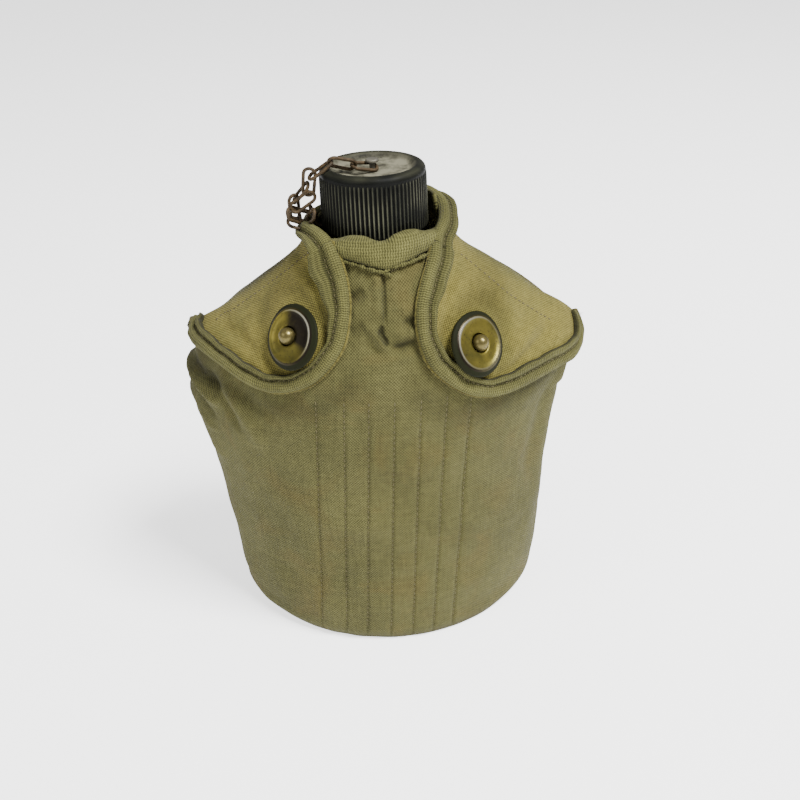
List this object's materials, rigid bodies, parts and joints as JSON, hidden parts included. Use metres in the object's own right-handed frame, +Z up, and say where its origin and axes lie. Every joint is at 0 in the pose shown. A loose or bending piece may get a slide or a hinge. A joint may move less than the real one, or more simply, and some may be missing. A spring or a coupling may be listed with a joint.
{
  "type": "belt canteen",
  "caption": "Kidney-section belt canteen with a ribbed screw cap on a chain, in a lined canvas cover with snap-down shoulder flaps and a wire belt hook.",
  "frame": {"origin": "on the neck's axis at the level that the cover stands on", "axes": "+Z up along the neck and cap, -Y towards the front with the flaps' fasteners, +X to the right seen from the front"},
  "size_m": [0.1623, 0.0936, 0.2132],
  "materials": {
    "bottle_metal": "satin, lightly worn",
    "chain_metal": "browned and rusty wire",
    "pin_metal": "dull, dusty",
    "cap_plastic": "matt black, worn grey on the ribs",
    "gasket_rubber": "matt",
    "liner_felt": "thick felt",
    "binding_tape": "herringbone tape",
    "flap_canvas": "plain weave canvas, faded",
    "lining_cloth": "plain weave",
    "fastener_brass": "tarnished",
    "strap_webbing": "woven webbing",
    "hook_steel": "blackened wire",
    "cover_canvas": "plain weave canvas, olive khaki"
  },
  "bodies": {
    "bottle_and_cover": {"bottle_lower_shell": "bottle_metal", "bottle_upper_shell": "bottle_metal", "bottle_neck": "bottle_metal", "neck_collar": "chain_metal", "cover_bottom": "cover_canvas", "cover_front": "cover_canvas", "cover_front_binding": "binding_tape", "cover_back": "cover_canvas", "cover_collar_binding": "binding_tape", "liner_bottom": "liner_felt", "liner_front": "liner_felt", "liner_back": "liner_felt", "left_stud": "fastener_brass", "left_stud_washer": "fastener_brass", "right_stud": "fastener_brass", "right_stud_washer": "fastener_brass", "hook_strap": "strap_webbing", "chain_link_8": "chain_metal"},
    "cap_pin_and_chain": {"cap_pin": "pin_metal", "cap_pin_washer": "pin_metal", "chain_link_1": "chain_metal", "chain_link_2": "chain_metal", "chain_link_3": "chain_metal"},
    "cap": {"cap_shell": "cap_plastic", "cap_gasket": "gasket_rubber"},
    "left_flap_body": {"left_flap": "flap_canvas", "left_flap_lining": "lining_cloth", "left_flap_binding": "binding_tape", "left_socket": "fastener_brass", "left_socket_back_plate": "fastener_brass"},
    "right_flap_body": {"right_flap": "flap_canvas", "right_flap_lining": "lining_cloth", "right_flap_binding": "binding_tape", "right_socket": "fastener_brass", "right_socket_back_plate": "fastener_brass"},
    "hook": {"belt_hook": "hook_steel"},
    "link_4": {"chain_link_4": "chain_metal"},
    "link_5": {"chain_link_5": "chain_metal"},
    "link_6": {"chain_link_6": "chain_metal"},
    "link_7": {"chain_link_7": "chain_metal"}
  },
  "joints": [
    {"name": "cap_rise", "type": "slide", "parent": "bottle_and_cover", "child": "cap_pin_and_chain", "axis": [0, 0, 1], "range_m": [0, 0.01205]},
    {"name": "cap_turn", "type": "hinge", "parent": "cap_pin_and_chain", "child": "cap", "pos_m": [0, 0, 0.19], "axis": [0, 0, 1], "range_deg": [0, 1080]},
    {"name": "left_flap_fold", "type": "hinge", "parent": "bottle_and_cover", "child": "left_flap_body", "pos_m": [-0.015, -0.013, 0.1905], "axis": [-0.7964, 0.1385, -0.5887], "range_deg": [0, 110]},
    {"name": "right_flap_fold", "type": "hinge", "parent": "bottle_and_cover", "child": "right_flap_body", "pos_m": [0.017, -0.013, 0.1905], "axis": [-0.7839, -0.1383, 0.6052], "range_deg": [0, 110]},
    {"name": "hook_swing", "type": "hinge", "parent": "bottle_and_cover", "child": "hook", "pos_m": [0, 0.0362, 0.126], "axis": [1, 0, 0], "range_deg": [0, 150]},
    {"name": "link_4_rise", "type": "slide", "parent": "bottle_and_cover", "child": "link_4", "axis": [0, 0, 1], "range_m": [0, 0.01004]},
    {"name": "link_5_rise", "type": "slide", "parent": "bottle_and_cover", "child": "link_5", "axis": [0, 0, 1], "range_m": [0, 0.00663]},
    {"name": "link_6_rise", "type": "slide", "parent": "bottle_and_cover", "child": "link_6", "axis": [0, 0, 1], "range_m": [0, 0.00502]},
    {"name": "link_7_rise", "type": "slide", "parent": "bottle_and_cover", "child": "link_7", "axis": [0, 0, 1], "range_m": [0, 0.00171]}
  ],
  "couplings": [
    {"joint": "cap_rise", "follows": "cap_turn", "m_per_rad": 0.00063662},
    {"joint": "link_4_rise", "follows": "cap_turn", "m_per_rad": 0.00053052},
    {"joint": "link_5_rise", "follows": "cap_turn", "m_per_rad": 0.00035014},
    {"joint": "link_6_rise", "follows": "cap_turn", "m_per_rad": 0.00026526},
    {"joint": "link_7_rise", "follows": "cap_turn", "m_per_rad": 0.000090188}
  ]
}
